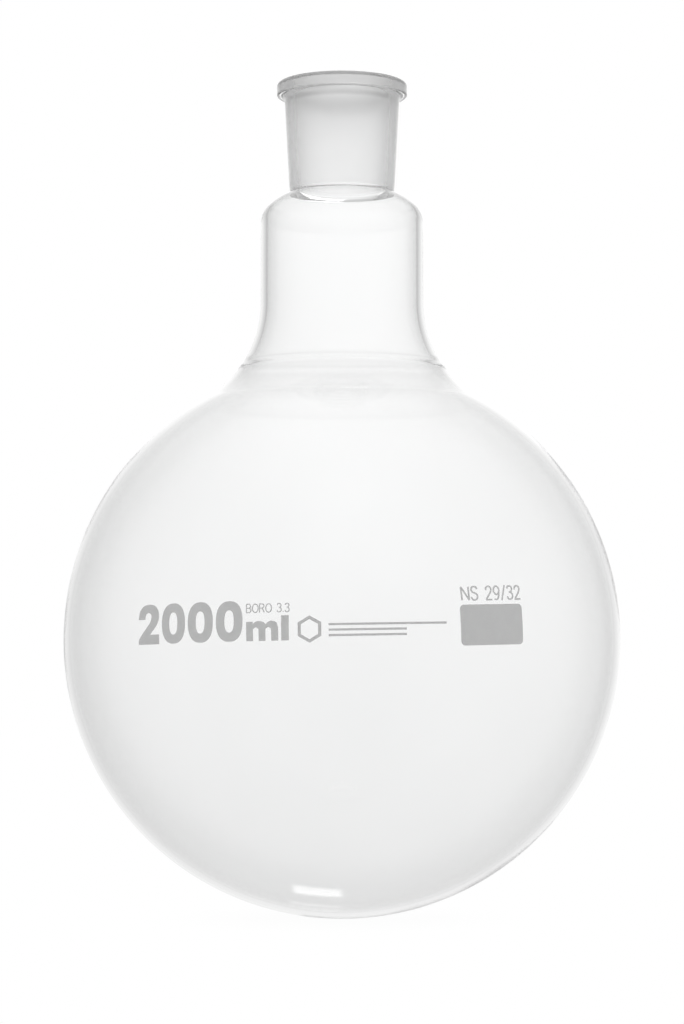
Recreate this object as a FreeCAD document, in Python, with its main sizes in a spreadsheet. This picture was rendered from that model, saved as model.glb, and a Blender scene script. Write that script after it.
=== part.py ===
import FreeCAD, Part
import math
import os

import Sketcher

# Round bottom flask, 2000 ml, borosilicate glass, with a standard ground joint NS 29/32.
# Frame: origin at the lowest point of the bulb, +Z up along the neck, the printed side faces -Y.
# All lengths are millimetres.

doc = FreeCAD.newDocument("round_bottom_flask")

# ---------------------------------------------------------------- driving dimensions
sheet = doc.addObject("Spreadsheet::Sheet", "dims")
DIMS = [
    # bulb
    ("bulb_radius", 83.0, "outer radius of the 2000 ml bulb"),
    ("glass_wall", 2.0, "wall of bulb and neck"),
    ("flare_radius", 34.0, "outer radius of the flare between neck and bulb"),
    ("seam_height", 164.6, "height of the seam where the neck is fused on"),
    ("seam_bead", 0.6, "radius of the fused bead inside that seam"),
    ("seam_inner_radius", 28.3, "radius at which the bead is centred"),
    # neck
    ("neck_radius", 24.5, "outer radius of the neck tube"),
    ("shoulder_height", 208.3, "height where the straight tube ends"),
    ("shoulder_corner", 7.0, "radius of the shoulder's corner"),
    ("shoulder_crown", 16.0, "radius of the shoulder's crown"),
    ("shoulder_turn", 44.0, "degrees at which corner turns into crown"),
    ("shoulder_inside_height", 208.9, "height where the straight tube ends, inside"),
    ("shoulder_inside_corner", 5.6, "radius of the shoulder's corner, inside: the shoulder is blown thinner than the tube"),
    ("shoulder_inside_crown", 14.6, "radius of the shoulder's crown, inside"),
    ("stub_fillet", 0.7, "fillet from shoulder up to the stub"),
    ("stub_radius", 15.8, "outer radius of the stub below the socket"),
    ("stub_height", 218.0, "height of the seam between neck and socket"),
    ("throat_radius", 13.1, "inner radius at that seam"),
    ("throat_round", 2.2, "rounding of the throat that leads up to the socket"),
    # ground joint socket
    ("stub_top", 218.5, "top of the clear stub's straight part"),
    ("socket_foot_height", 219.6, "lower end of the socket's tapered outside"),
    ("socket_foot_radius", 15.95, "outer radius there"),
    ("socket_top_radius", 17.45, "outer radius under the rim"),
    ("rim_height", 247.0, "underside of the rim"),
    ("rim_radius", 19.7, "outer radius of the rim"),
    ("total_height", 251.0, "top of the rim"),
    ("rim_round", 1.0, "rounding of the rim's top edge"),
    ("rim_under_round", 0.6, "rounding of the rim's lower edge"),
    ("rim_root_round", 1.6, "hollow between rim and socket"),
    ("mouth_lip", 0.5, "chamfer of the mouth above the ground cone"),
    ("ground_mouth_radius", 14.6, "NS 29/32: half of 29.2 at the mouth"),
    ("ground_end_radius", 13.0, "NS 29/32: half of 26.0 at the end"),
    ("ground_length", 32.0, "NS 29/32: length of the ground cone"),
    # enamel print
    ("enamel", 0.15, "thickness of the fired enamel"),
    ("print_reach", 18.0, "depth of the blanks that cut the enamel"),
    ("digit_height", 11.09, "height of the capacity figures"),
    ("digit_width", 7.9, "width of one figure"),
    ("digit_advance", 8.89, "spacing of the figures"),
    ("grade_height", 2.32, "letter height of the glass grade"),
    ("size_height", 3.7, "letter height of the joint size"),
    ("badge_radius", 3.7, "circumradius of the hexagon badge"),
    ("badge_line", 0.85, "line width of the badge"),
    ("rule_length", 32.5, "length of the long rule"),
    ("rule_short", 21.2, "length of the short rules"),
    ("rule_width", 0.61, "width of a rule"),
    ("rule_pitch", 1.48, "spacing of the rules"),
    ("field_width", 20.1, "writing field, width"),
    ("field_height", 11.17, "writing field, height"),
    ("field_corner", 1.3, "writing field, corner radius"),
]
VALUE = {}
for row, (name, value, note) in enumerate(DIMS, start=1):
    sheet.set("A%d" % row, note)
    sheet.set("B%d" % row, "%g" % value)
    sheet.setAlias("B%d" % row, name)
    VALUE[name] = value
doc.recompute()


def D(name):
    return float(getattr(sheet, name))


# ---------------------------------------------------------------- sketch helpers
def V(x, y):
    return FreeCAD.Vector(x, y, 0)


def plane(body, role):
    for feature in body.Origin.OriginFeatures:
        if feature.Role == role:
            return feature
    raise RuntimeError("no plane " + role)


class Profile:
    """A closed half-section in the XZ plane: x is the radius, y is the height."""

    def __init__(self, body, name):
        self.sk = body.newObject("Sketcher::SketchObject", name)
        self.sk.AttachmentSupport = [(plane(body, "XZ_Plane"), "")]
        self.sk.MapMode = "FlatFace"

    def line(self, a, b):
        return self.sk.addGeometry(Part.LineSegment(V(*a), V(*b)), False)

    def arc(self, centre, radius, a0, a1):
        circle = Part.Circle(V(*centre), FreeCAD.Vector(0, 0, 1), radius)
        return self.sk.addGeometry(Part.ArcOfCircle(circle, a0, a1), False)

    def join(self, g1, p1, g2, p2):
        self.sk.addConstraint(Sketcher.Constraint("Coincident", g1, p1, g2, p2))

    def smooth(self, g1, p1, g2, p2):
        self.sk.addConstraint(Sketcher.Constraint("Tangent", g1, p1, g2, p2))

    def level(self, g):
        self.sk.addConstraint(Sketcher.Constraint("Horizontal", g))

    def upright(self, g):
        self.sk.addConstraint(Sketcher.Constraint("Vertical", g))

    def on_axis(self, g, p):
        self.sk.addConstraint(Sketcher.Constraint("PointOnObject", g, p, -2))

    def at_origin(self, g, p):
        self.sk.addConstraint(Sketcher.Constraint("Coincident", g, p, -1, 1))

    def same_centre(self, g1, g2):
        self.sk.addConstraint(Sketcher.Constraint("Coincident", g1, 3, g2, 3))

    def _bound(self, constraint, expression, name):
        i = self.sk.addConstraint(constraint)
        self.sk.renameConstraint(i, name)
        self.sk.setExpression("Constraints." + name, expression)

    def radius(self, g, value, expression, name):
        self._bound(Sketcher.Constraint("Radius", g, value), expression, name)

    def x_of(self, g, p, value, expression, name):
        self._bound(Sketcher.Constraint("DistanceX", -1, 1, g, p, value), expression, name)

    def y_of(self, g, p, value, expression, name):
        self._bound(Sketcher.Constraint("DistanceY", -1, 1, g, p, value), expression, name)


def revolve(body, sketch, name):
    rev = body.newObject("PartDesign::Revolution", name)
    rev.Profile = sketch
    rev.ReferenceAxis = (sketch, ["V_Axis"])
    rev.Angle = 360.0
    sketch.Visibility = False
    body.Tip = rev
    return rev


def circle_edges(shape, radius, height):
    """Names of the circular edges with this radius at this height."""
    names = []
    for i, edge in enumerate(shape.Edges, start=1):
        curve = edge.Curve
        if isinstance(curve, Part.Circle):
            if abs(curve.Radius - radius) < 1e-3 and abs(curve.Center.z - height) < 1e-3:
                names.append("Edge%d" % i)
    return names


# Where the flare's centre lies: its circle touches the neck's outside line and the bulb's sphere.
FLARE_Z = "dims.bulb_radius + sqrt((dims.bulb_radius + dims.flare_radius)^2 - (dims.neck_radius + dims.flare_radius)^2)"
R = D("bulb_radius")
T = D("glass_wall")
FR = D("flare_radius")
NR = D("neck_radius")
SEAM = D("seam_height")
BEAD = D("seam_bead")
BEAD_R = D("seam_inner_radius")
fc_x = NR + FR
fc_y = R + math.sqrt((R + FR) ** 2 - fc_x**2)


def angle(cx, cy, x, y):
    return math.atan2(y - cy, x - cx) % (2 * math.pi)


def meet(c0, r0, c1, r1, upper):
    """Where two circles cross; the upper or the lower point."""
    dx, dy = c1[0] - c0[0], c1[1] - c0[1]
    d = math.hypot(dx, dy)
    a = (r0 * r0 - r1 * r1 + d * d) / (2 * d)
    k = math.sqrt(r0 * r0 - a * a)
    mx, my = c0[0] + a * dx / d, c0[1] + a * dy / d
    p = [(mx + k * dy / d, my - k * dx / d), (mx - k * dy / d, my + k * dx / d)]
    p.sort(key=lambda q: q[1])
    return p[1] if upper else p[0]


# ---------------------------------------------------------------- bulb
# A blown sphere with a flared root. Its top edge is the seam where the neck tube is fused on; half of the
# small bead of that seam stands inside the opening.
bulb = doc.addObject("PartDesign::Body", "bulb")
bulb.Label = "bulb"
p = Profile(bulb, "bulb_profile")
touch_o = (fc_x * R / (R + FR), R + (fc_y - R) * R / (R + FR))
touch_i = (fc_x * (R - T) / (R + FR), R + (fc_y - R) * (R - T) / (R + FR))
q_out = (fc_x - math.sqrt(FR**2 - (fc_y - SEAM) ** 2), SEAM)
low = meet((BEAD_R, SEAM), BEAD, (fc_x, fc_y), FR + T, False)
sphere_o = p.arc((0, R), R, 1.5 * math.pi, angle(0, R, *touch_o) + 2 * math.pi)
flare_o = p.arc((fc_x, fc_y), FR, angle(fc_x, fc_y, *q_out), angle(fc_x, fc_y, *touch_o))
lip = p.line(q_out, (BEAD_R - BEAD, SEAM))
bead = p.arc((BEAD_R, SEAM), BEAD, math.pi, angle(BEAD_R, SEAM, *low))
flare_i = p.arc((fc_x, fc_y), FR + T, angle(fc_x, fc_y, *low), angle(fc_x, fc_y, *touch_i))
sphere_i = p.arc((0, R), R - T, 1.5 * math.pi, angle(0, R, *touch_i) + 2 * math.pi)
pole = p.line((0, T), (0, 0))
p.at_origin(sphere_o, 1)
p.on_axis(sphere_o, 3)
p.radius(sphere_o, R, "dims.bulb_radius", "outer_sphere")
p.smooth(sphere_o, 2, flare_o, 2)
p.radius(flare_o, FR, "dims.flare_radius", "flare")
p.x_of(flare_o, 3, fc_x, "dims.neck_radius + dims.flare_radius", "flare_centre")
p.y_of(flare_o, 1, SEAM, "dims.seam_height", "seam")
p.join(flare_o, 1, lip, 1)
p.level(lip)
p.join(lip, 2, bead, 1)
p.x_of(bead, 3, BEAD_R, "dims.seam_inner_radius", "bead_centre_radius")
p.y_of(bead, 3, SEAM, "dims.seam_height", "bead_centre_height")
p.radius(bead, BEAD, "dims.seam_bead", "bead_size")
p.join(bead, 2, flare_i, 1)
p.same_centre(flare_o, flare_i)
p.same_centre(sphere_o, sphere_i)
p.radius(sphere_i, R - T, "dims.bulb_radius - dims.glass_wall", "inner_sphere")
p.smooth(sphere_i, 2, flare_i, 2)
p.on_axis(sphere_i, 1)
p.join(sphere_i, 1, pole, 1)
p.join(pole, 2, sphere_o, 1)
revolve(bulb, p.sk, "bulb_glass")

# ---------------------------------------------------------------- neck
# A wide tube: flared at the foot, drawn in at the top to a domed shoulder and a short stub.
neck = doc.addObject("PartDesign::Body", "neck")
neck.Label = "neck"
p = Profile(neck, "neck_profile")
SH = D("shoulder_height")
RA = D("shoulder_corner")
RB = D("shoulder_crown")
TURN = math.radians(D("shoulder_turn"))
RC = D("stub_fillet")
SR = D("stub_radius")
STUB = D("stub_height")
a_c = (NR - RA, SH)
a_e = (a_c[0] + RA * math.cos(TURN), a_c[1] + RA * math.sin(TURN))
b_c = (a_e[0] - RB * math.cos(TURN), a_e[1] - RB * math.sin(TURN))
c_c = (SR + RC, b_c[1] + math.sqrt((RB + RC) ** 2 - (SR + RC - b_c[0]) ** 2))
bc = (b_c[0] + (c_c[0] - b_c[0]) * RB / (RB + RC), b_c[1] + (c_c[1] - b_c[1]) * RB / (RB + RC))
SHI = D("shoulder_inside_height")
RI = D("shoulder_inside_corner")
RK = D("shoulder_inside_crown")
TB = D("throat_radius")
TH = D("throat_round")
i_c = (NR - T - RI, SHI)
i_e = (i_c[0] + RI * math.cos(TURN), i_c[1] + RI * math.sin(TURN))
k_c = (i_e[0] - RK * math.cos(TURN), i_e[1] - RK * math.sin(TURN))
t_c = meet((TB, STUB), TH, k_c, RK + TH, False)
kt = (k_c[0] + (t_c[0] - k_c[0]) * RK / (RK + TH), k_c[1] + (t_c[1] - k_c[1]) * RK / (RK + TH))
high = meet((BEAD_R, SEAM), BEAD, (fc_x, fc_y), FR + T, True)
n_flare_o = p.arc((fc_x, fc_y), FR, math.pi, angle(fc_x, fc_y, *q_out))
n_tube_o = p.line((NR, fc_y), (NR, SH))
n_corner_o = p.arc(a_c, RA, 0.0, TURN)
n_crown_o = p.arc(b_c, RB, TURN, angle(*b_c, *bc))
n_fillet_o = p.arc(c_c, RC, math.pi, angle(*c_c, *bc))
n_stub_o = p.line((SR, c_c[1]), (SR, STUB))
n_top = p.line((SR, STUB), (TB, STUB))
n_throat = p.arc(t_c, TH, angle(*t_c, TB, STUB), angle(*t_c, *kt))
n_crown_i = p.arc(k_c, RK, TURN, angle(*k_c, *kt))
n_corner_i = p.arc(i_c, RI, 0.0, TURN)
n_tube_i = p.line((NR - T, SHI), (NR - T, fc_y))
n_flare_i = p.arc((fc_x, fc_y), FR + T, math.pi, angle(fc_x, fc_y, *high))
n_bead = p.arc((BEAD_R, SEAM), BEAD, angle(BEAD_R, SEAM, *high), math.pi)
n_foot = p.line((BEAD_R - BEAD, SEAM), q_out)
p.radius(n_flare_o, FR, "dims.flare_radius", "flare")
p.y_of(n_flare_o, 3, fc_y, FLARE_Z, "flare_centre_height")
p.smooth(n_flare_o, 1, n_tube_o, 1)
p.x_of(n_tube_o, 1, NR, "dims.neck_radius", "tube_radius")
p.upright(n_tube_o)
p.y_of(n_tube_o, 2, SH, "dims.shoulder_height", "shoulder")
p.smooth(n_tube_o, 2, n_corner_o, 1)
p.radius(n_corner_o, RA, "dims.shoulder_corner", "corner")
p.y_of(
    n_corner_o,
    2,
    a_e[1],
    "dims.shoulder_height + dims.shoulder_corner * sin(dims.shoulder_turn * 1 deg)",
    "corner_end",
)
p.smooth(n_corner_o, 2, n_crown_o, 1)
p.radius(n_crown_o, RB, "dims.shoulder_crown", "crown")
p.smooth(n_crown_o, 2, n_fillet_o, 2)
p.radius(n_fillet_o, RC, "dims.stub_fillet", "fillet")
p.smooth(n_fillet_o, 1, n_stub_o, 1)
p.upright(n_stub_o)
p.x_of(n_stub_o, 2, SR, "dims.stub_radius", "stub_outside")
p.y_of(n_stub_o, 2, STUB, "dims.stub_height", "stub_end")
p.join(n_stub_o, 2, n_top, 1)
p.level(n_top)
p.join(n_top, 2, n_throat, 1)
p.x_of(n_top, 2, TB, "dims.throat_radius", "throat_bore")
p.radius(n_throat, TH, "dims.throat_round", "throat")
p.smooth(n_crown_i, 2, n_throat, 2)
p.radius(n_crown_i, RK, "dims.shoulder_inside_crown", "inside_crown")
p.smooth(n_corner_i, 2, n_crown_i, 1)
p.radius(n_corner_i, RI, "dims.shoulder_inside_corner", "inside_corner")
p.y_of(
    n_corner_i,
    2,
    i_e[1],
    "dims.shoulder_inside_height + dims.shoulder_inside_corner * sin(dims.shoulder_turn * 1 deg)",
    "inside_corner_end",
)
p.smooth(n_corner_i, 1, n_tube_i, 1)
p.upright(n_tube_i)
p.x_of(n_tube_i, 1, NR - T, "dims.neck_radius - dims.glass_wall", "tube_inside")
p.y_of(n_tube_i, 1, SHI, "dims.shoulder_inside_height", "inside_shoulder")
p.smooth(n_tube_i, 2, n_flare_i, 1)
p.same_centre(n_flare_o, n_flare_i)
p.join(n_flare_i, 2, n_bead, 1)
p.x_of(n_bead, 3, BEAD_R, "dims.seam_inner_radius", "bead_centre_radius")
p.y_of(n_bead, 3, SEAM, "dims.seam_height", "bead_centre_height")
p.radius(n_bead, BEAD, "dims.seam_bead", "bead_size")
p.join(n_bead, 2, n_foot, 1)
p.level(n_foot)
p.join(n_foot, 2, n_flare_o, 2)
revolve(neck, p.sk, "neck_glass")

# ---------------------------------------------------------------- joint socket
# The standard ground socket, fused on the stub: ground cone 1:10 inside, a strengthened rim at the mouth.
socket = doc.addObject("PartDesign::Body", "joint_socket")
socket.Label = "joint_socket"
p = Profile(socket, "socket_profile")
TOP = D("total_height")
LIP = D("mouth_lip")
CONE_Z = TOP - LIP - D("ground_length")
corners = [
    (TB, STUB, "dims.throat_radius", "dims.stub_height"),
    (SR, STUB, "dims.stub_radius", "dims.stub_height"),
    (SR, D("stub_top"), "dims.stub_radius", "dims.stub_top"),
    (D("socket_foot_radius"), D("socket_foot_height"), "dims.socket_foot_radius", "dims.socket_foot_height"),
    (D("socket_top_radius"), D("rim_height"), "dims.socket_top_radius", "dims.rim_height"),
    (D("rim_radius"), D("rim_height"), "dims.rim_radius", "dims.rim_height"),
    (D("rim_radius"), TOP, "dims.rim_radius", "dims.total_height"),
    (D("ground_mouth_radius") + LIP, TOP, "dims.ground_mouth_radius + dims.mouth_lip", "dims.total_height"),
    (D("ground_mouth_radius"), TOP - LIP, "dims.ground_mouth_radius", "dims.total_height - dims.mouth_lip"),
    (D("ground_end_radius"), CONE_Z, "dims.ground_end_radius", "dims.total_height - dims.mouth_lip - dims.ground_length"),
]
lines = []
for i, corner in enumerate(corners):
    nxt = corners[(i + 1) % len(corners)]
    lines.append(p.line(corner[:2], nxt[:2]))
for i, corner in enumerate(corners):
    p.join(lines[i - 1], 2, lines[i], 1)
for i, corner in enumerate(corners):
    p.x_of(lines[i], 1, corner[0], corner[2], "radius_%d" % i)
    p.y_of(lines[i], 1, corner[1], corner[3], "height_%d" % i)
socket_blank = revolve(socket, p.sk, "socket_glass")
doc.recompute()


def round_edge(body, base, name, radius, height, alias):
    names = circle_edges(base.Shape, radius, height)
    if not names:
        raise RuntimeError("no edge for " + name)
    fillet = body.newObject("PartDesign::Fillet", name)
    fillet.Base = (base, names)
    fillet.Radius = D(alias)
    fillet.setExpression("Radius", "dims." + alias)
    body.Tip = fillet
    doc.recompute()
    return fillet


rim_top = round_edge(socket, socket_blank, "rim_top_round", D("rim_radius"), TOP, "rim_round")
rim_low = round_edge(socket, rim_top, "rim_lower_round", D("rim_radius"), D("rim_height"), "rim_under_round")
rim_root = round_edge(socket, rim_low, "rim_root_round", D("socket_top_radius"), D("rim_height"), "rim_root_round")

# ---------------------------------------------------------------- enamel print
# Every mark is a thin patch of fired enamel on the sphere: a straight blank cut out of one spherical shell.
ball_out = doc.addObject("Part::Sphere", "enamel_outside")
ball_out.setExpression("Radius", "dims.bulb_radius + dims.enamel")
ball_in = doc.addObject("Part::Sphere", "enamel_inside")
ball_in.setExpression("Radius", "dims.bulb_radius")
for ball in (ball_out, ball_in):
    ball.setExpression("Placement.Base.z", "dims.bulb_radius")
shell = doc.addObject("Part::Cut", "enamel_shell")
shell.Base = ball_out
shell.Tool = ball_in


def smooth_curve(points, closed, steps):
    """Catmull-Rom points through a list of points."""
    out = []
    n = len(points)
    spans = n if closed else n - 1
    for i in range(spans):
        if closed:
            a, b, c, d = (points[(i + k) % n] for k in (-1, 0, 1, 2))
        else:
            b, c = points[i], points[i + 1]
            a = points[i - 1] if i > 0 else (2 * b[0] - c[0], 2 * b[1] - c[1])
            d = points[i + 2] if i + 2 < n else (2 * c[0] - b[0], 2 * c[1] - b[1])
        for k in range(steps):
            t = k / steps
            out.append(
                tuple(
                    0.5
                    * (
                        2 * b[j]
                        + (c[j] - a[j]) * t
                        + (2 * a[j] - 5 * b[j] + 4 * c[j] - d[j]) * t * t
                        + (3 * b[j] - a[j] - 3 * c[j] + d[j]) * t * t * t
                    )
                    for j in (0, 1)
                )
            )
    if not closed:
        out.append(points[-1])
    return out


def squircle(cx, cy, rx, ry, power, n):
    pts = []
    for i in range(n):
        a = 2 * math.pi * (i + 0.5) / n
        c, s = math.cos(a), math.sin(a)
        pts.append(
            (
                cx + rx * math.copysign(abs(c) ** (2 / power), c),
                cy + ry * math.copysign(abs(s) ** (2 / power), s),
            )
        )
    return pts


def bold_zero(x, w, hgt, line):
    """Outline and counter of a bold 0 whose foot is at height 0."""
    return [
        (
            squircle(x + w / 2, hgt / 2, w / 2, hgt / 2, 2.35, 48),
            [squircle(x + w / 2, hgt / 2, w / 2 - line, hgt / 2 - line, 2.5, 36)],
        )
    ]


def bold_two(x, w, hgt):
    kx, ky = w / 8.0, hgt / 11.25
    outer = smooth_curve(
        [(4.45, 2.75), (5.4, 3.7), (6.75, 5.1), (7.6, 6.6), (7.85, 8.0), (7.4, 9.6), (6.2, 10.8), (4.1, 11.25),
         (1.95, 10.75), (0.62, 9.45), (0.15, 7.9), (0.05, 7.0)],
        False,
        4,
    )
    inner = smooth_curve(
        [(2.6, 7.0), (2.75, 8.0), (3.3, 8.7), (4.1, 8.85), (4.9, 8.4), (5.05, 7.5), (4.55, 6.2), (3.3, 4.75),
         (1.6, 3.1), (0.4, 1.75), (0.0, 0.9)],
        False,
        4,
    )
    pts = [(0.0, 0.0), (7.85, 0.0), (7.85, 2.75)] + outer + inner
    return [([(x + kx * a, ky * b) for a, b in pts], [])]


def bold_m(x, w, xh, stem):
    """A lower-case m: three stems under two arches."""
    mid = x + w / 2
    gap = (w - 3 * stem) / 2
    top = 1.75
    left = [(x, 0), (x, xh - 0.15), (x + stem, xh - 0.15), (x + stem, xh - 0.75)]
    arch1 = smooth_curve(
        [(x + stem, xh - 0.75), (x + stem + 0.9, xh - 0.12), (x + stem + 2.0, xh), (mid + 0.45, xh - 0.35), (mid + stem / 2, xh - 0.9)],
        False,
        4,
    )
    arch2 = smooth_curve(
        [(mid + stem / 2, xh - 0.9), (mid + stem / 2 + 1.0, xh - 0.15), (x + w - 1.6, xh), (x + w - 0.45, xh - 0.5), (x + w, xh - 1.7)],
        False,
        4,
    )
    foot = [(x + w, 0), (x + w - stem, 0)]
    under2 = smooth_curve(
        [(x + w - stem, xh - top - 0.45), (x + w - stem - 0.35 * gap, xh - top), (mid + stem / 2 + 0.35 * gap, xh - top), (mid + stem / 2, xh - top - 0.5)],
        False,
        3,
    )
    under1 = smooth_curve(
        [(mid - stem / 2, xh - top - 0.45), (mid - stem / 2 - 0.35 * gap, xh - top), (x + stem + 0.35 * gap, xh - top), (x + stem, xh - top - 0.5)],
        False,
        3,
    )
    pts = left + arch1[1:] + arch2[1:] + foot + under2 + [(mid + stem / 2, 0), (mid - stem / 2, 0)] + under1 + [(x + stem, 0)]
    return [(pts, [])]


def bar(x, y, w, hgt):
    return [([(x, y), (x + w, y), (x + w, y + hgt), (x, y + hgt)], [])]


# Line letters on a grid 0..1 high: lists of strokes; a stroke is open unless its last point repeats its first.
def ring(cx, cy, rx, ry, a0, a1, n):
    return [
        (cx + rx * math.cos(math.radians(a0 + (a1 - a0) * i / n)), cy + ry * math.sin(math.radians(a0 + (a1 - a0) * i / n)))
        for i in range(n + 1)
    ]


LINE = {
    "B": (0.56, [[(0.0, 0.0), (0.0, 1.0)], [(0.0, 1.0), (0.3, 1.0)] + ring(0.3, 0.76, 0.2, 0.24, 90, -90, 8) + [(0.0, 0.52)],
                 [(0.28, 0.52)] + ring(0.3, 0.26, 0.26, 0.26, 90, -90, 8) + [(0.0, 0.0)]]),
    "O": (0.7, [ring(0.35, 0.5, 0.35, 0.5, 0, 360, 24)]),
    "R": (0.58, [[(0.0, 0.0), (0.0, 1.0)], [(0.0, 1.0), (0.3, 1.0)] + ring(0.3, 0.75, 0.24, 0.25, 90, -90, 8) + [(0.0, 0.5)],
                 [(0.32, 0.5), (0.58, 0.0)]]),
    "N": (0.6, [[(0.0, 0.0), (0.0, 1.0)], [(0.0, 1.0), (0.6, 0.0)], [(0.6, 0.0), (0.6, 1.0)]]),
    "S": (0.56, [smooth_curve([(0.53, 0.8), (0.45, 0.95), (0.28, 1.0), (0.1, 0.93), (0.04, 0.76), (0.12, 0.6), (0.3, 0.52), (0.47, 0.43),
                               (0.54, 0.26), (0.46, 0.07), (0.27, 0.0), (0.1, 0.05), (0.0, 0.22)], False, 3)]),
    "2": (0.5, [smooth_curve([(0.01, 0.72), (0.07, 0.92), (0.25, 1.0), (0.43, 0.92), (0.48, 0.74), (0.4, 0.54), (0.22, 0.3), (0.03, 0.03)], False, 3), [(-0.02, 0.0), (0.52, 0.0)]]),
    "3": (0.5, [smooth_curve([(0.02, 0.8), (0.1, 0.95), (0.25, 1.0), (0.42, 0.93), (0.46, 0.76), (0.38, 0.58), (0.2, 0.53)], False, 3),
                smooth_curve([(0.2, 0.53), (0.4, 0.47), (0.5, 0.28), (0.42, 0.07), (0.25, 0.0), (0.08, 0.05), (0.0, 0.22)], False, 3)]),
    "9": (0.5, [ring(0.25, 0.69, 0.24, 0.31, -5, 185, 11), ring(0.25, 0.69, 0.24, 0.31, 175, 365, 11), smooth_curve([(0.465, 0.62), (0.45, 0.36), (0.36, 0.09), (0.22, 0.0), (0.05, 0.05)], False, 3)]),
    "/": (0.34, [[(0.0, -0.06), (0.34, 1.06)]]),
    ".": (0.1, [[(0.05, 0.0), (0.05, 0.1)]]),
    " ": (0.32, []),
}


def offset_stroke(points, half):
    """Left and right offsets of a polyline, mitred."""
    points = [q for i, q in enumerate(points) if i == 0 or math.hypot(q[0] - points[i - 1][0], q[1] - points[i - 1][1]) > 1e-9]
    closed = math.hypot(points[0][0] - points[-1][0], points[0][1] - points[-1][1]) < 1e-9
    pts = points[:-1] if closed else points
    n = len(pts)
    left, right = [], []
    for i in range(n):
        prev = pts[i - 1] if (closed or i > 0) else None
        nxt = pts[(i + 1) % n] if (closed or i < n - 1) else None
        dirs = []
        for a, b in ((prev, pts[i]), (pts[i], nxt)):
            if a is not None and b is not None:
                dx, dy = b[0] - a[0], b[1] - a[1]
                k = math.hypot(dx, dy)
                dirs.append((dx / k, dy / k))
        if len(dirs) == 2:
            tx, ty = dirs[0][0] + dirs[1][0], dirs[0][1] + dirs[1][1]
            k = math.hypot(tx, ty)
            tx, ty = tx / k, ty / k
            cosine = max(0.45, tx * dirs[0][0] + ty * dirs[0][1])
            reach = half / cosine
        else:
            tx, ty = dirs[0]
            reach = half
        left.append((pts[i][0] - ty * reach, pts[i][1] + tx * reach))
        right.append((pts[i][0] + ty * reach, pts[i][1] - tx * reach))
    return left, right, closed


def wrap(u, v):
    """From a distance along the sphere to the flat blank's width."""
    return R * math.sin(u / R), v


def face_of(outline, holes):
    def wire(points):
        if sum(points[i - 1][0] * points[i][1] - points[i][0] * points[i - 1][1] for i in range(len(points))) < 0:
            points = points[::-1]
        w = [FreeCAD.Vector(wrap(a, b)[0], 0, b) for a, b in points]
        return Part.makePolygon(w + [w[0]])

    outer = Part.Face(wire(outline))
    for hole in holes:
        outer = outer.cut(Part.Face(wire(hole)))
    return outer


def line_text(text, size, line, gap, start):
    """Line letters as planar faces, one per letter, fused where the strokes of a letter cross."""
    faces = []
    x = start
    for ch in text:
        width, strokes = LINE[ch]
        parts = []
        for stroke in strokes:
            pts = [(x + size * a, size * b) for a, b in stroke]
            left, right, closed = offset_stroke(pts, line / 2)
            if closed:
                area = sum(left[i - 1][0] * left[i][1] - left[i][0] * left[i - 1][1] for i in range(len(left)))
                other = sum(right[i - 1][0] * right[i][1] - right[i][0] * right[i - 1][1] for i in range(len(right)))
                big, small = (left, right) if abs(area) > abs(other) else (right, left)
                parts.append(face_of(big, [small]))
            else:
                parts.append(face_of(left + right[::-1], []))
        if parts:
            letter = parts[0]
            if len(parts) > 1:
                letter = parts[0].multiFuse(parts[1:]).removeSplitter()
            faces += letter.Faces
        x += size * width + gap
    return faces, x - gap


def text_width(text, size, gap):
    return sum(size * LINE[ch][0] + gap for ch in text) - gap


def place(azimuth_mm, height, tilt):
    """On the sphere at a distance along the equator from the front, at a height, turned by a small tilt."""
    turn = FreeCAD.Placement(FreeCAD.Vector(0, 0, 0), FreeCAD.Rotation(FreeCAD.Vector(0, 0, 1), math.degrees(azimuth_mm / R)))
    lift = FreeCAD.Placement(FreeCAD.Vector(0, 0, height), FreeCAD.Rotation(FreeCAD.Vector(0, 1, 0), -tilt))
    return turn.multiply(lift)


REACH_START = R + 4.0


def lettering(name, faces, azimuth_mm, height, tilt):
    """A node cut from the enamel shell by an extruded set of letter faces."""
    blank = doc.addObject("Part::Feature", name + "_letters")
    moved = []
    for f in faces:
        g = f.copy()
        g.translate(FreeCAD.Vector(0, -REACH_START, 0))
        moved.append(g)
    blank.Shape = Part.makeCompound(moved)
    blank.Placement = place(azimuth_mm, height, tilt)
    prism = doc.addObject("Part::Extrusion", name + "_blank")
    prism.Base = blank
    prism.DirMode = "Custom"
    prism.Dir = blank.Placement.Rotation.multVec(FreeCAD.Vector(0, 1, 0))
    prism.setExpression("LengthFwd", "dims.print_reach")
    prism.Solid = True
    mark = doc.addObject("Part::Common", name)
    mark.Base = shell
    mark.Tool = prism
    mark.Label = name
    return mark


# Capacity: bold figures 2000, then a smaller ml on the same line.
H = D("digit_height")
W = D("digit_width")
ADV = D("digit_advance")
LINE_W = 2.55 * W / 8.0
start = -23.8
faces = []
for outline, holes in bold_two(start, W, H):
    faces.append(face_of(outline, holes))
for i in (1, 2, 3):
    for outline, holes in bold_zero(start + i * ADV, W, H, LINE_W):
        faces.append(face_of(outline, holes))
m_start = start + 4 * ADV + 0.1
for outline, holes in bold_m(m_start, 8.98, 5.42, 1.88):
    faces.append(face_of(outline, holes))
for outline, holes in bar(m_start + 9.87, 0.0, 2.07, 6.85):
    faces.append(face_of(outline, holes))
capacity = lettering("capacity_mark", faces, -38.22, 80.67, 1.16)

# Glass grade: the standard designation of borosilicate glass 3.3.
G = D("grade_height")
faces, end = line_text("BORO 3.3", G, 0.295, 0.41, 0.0)
faces, end = line_text("BORO 3.3", G, 0.295, 0.41, -end / 2)
grade = lettering("glass_grade_mark", faces, -20.42, 88.78, 1.05)

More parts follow.
